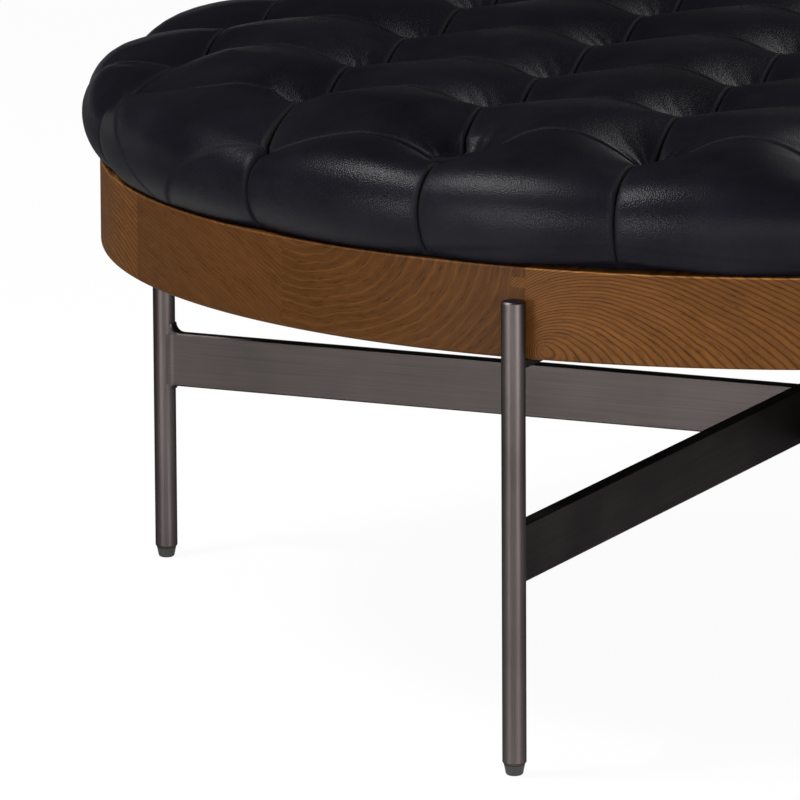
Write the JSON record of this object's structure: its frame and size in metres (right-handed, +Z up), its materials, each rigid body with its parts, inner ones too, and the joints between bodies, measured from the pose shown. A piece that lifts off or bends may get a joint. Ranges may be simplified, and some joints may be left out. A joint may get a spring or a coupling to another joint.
{
  "type": "ottoman coffee table",
  "caption": "Round ottoman coffee table: deep-tufted leather cushion on a curved wood hoop, carried by round steel legs with crossed flat bars.",
  "frame": {"origin": "on the floor under the centre of the table", "axes": "+Z up, +X towards the right leg, -Y towards the front leg; the cross bars lie along X and Y"},
  "size_m": [1.2, 1.2, 0.499],
  "materials": {
    "cover_leather": "semi-matt black-navy leather with a fine grain",
    "seat_foam": "open-cell upholstery foam",
    "stained_wood": "brown-stained hardwood, satin lacquer",
    "plywood": "bare plywood and softwood",
    "gunmetal": "brushed steel with a dark gunmetal finish",
    "zinc_steel": "zinc-plated steel",
    "foot_plastic": "black moulded nylon",
    "twine": "waxed tufting twine",
    "black_cloth": "thin black non-woven cloth"
  },
  "bodies": {
    "root": {"batten_screws": "zinc_steel", "bracket_screws": "zinc_steel", "cross_bar_back": "gunmetal", "cross_bar_front": "gunmetal", "cross_bar_long": "gunmetal", "deck": "plywood", "deck_batten_left": "plywood", "deck_batten_right": "plywood", "deck_bracket_1": "zinc_steel", "deck_bracket_2": "zinc_steel", "deck_bracket_3": "zinc_steel", "deck_bracket_4": "zinc_steel", "deck_bracket_5": "zinc_steel", "deck_bracket_6": "zinc_steel", "deck_bracket_7": "zinc_steel", "deck_bracket_8": "zinc_steel", "dust_cover": "black_cloth", "foam_core": "seat_foam", "foot_back": "foot_plastic", "foot_front": "foot_plastic", "foot_left": "foot_plastic", "foot_right": "foot_plastic", "hem_staples": "zinc_steel", "leather_cover": "cover_leather", "leg_back": "gunmetal", "leg_bolts": "zinc_steel", "leg_front": "gunmetal", "leg_left": "gunmetal", "leg_plug_back": "gunmetal", "leg_plug_front": "gunmetal", "leg_plug_left": "gunmetal", "leg_plug_right": "gunmetal", "leg_right": "gunmetal", "leg_washers": "zinc_steel", "rim_block_01": "stained_wood", "rim_block_02": "stained_wood", "rim_block_03": "stained_wood", "rim_block_04": "stained_wood", "rim_block_05": "stained_wood", "rim_block_06": "stained_wood", "rim_block_07": "stained_wood", "rim_block_08": "stained_wood", "rim_block_09": "stained_wood", "rim_block_10": "stained_wood", "rim_block_11": "stained_wood", "rim_block_12": "stained_wood", "rim_block_13": "stained_wood", "rim_block_14": "stained_wood", "rim_block_15": "stained_wood", "rim_block_16": "stained_wood", "rim_tab_back": "gunmetal", "rim_tab_front": "gunmetal", "rim_tab_left": "gunmetal", "rim_tab_right": "gunmetal", "tab_screws": "zinc_steel", "tuft_cords": "twine", "tuft_washers": "zinc_steel"}
  },
  "joints": []
}
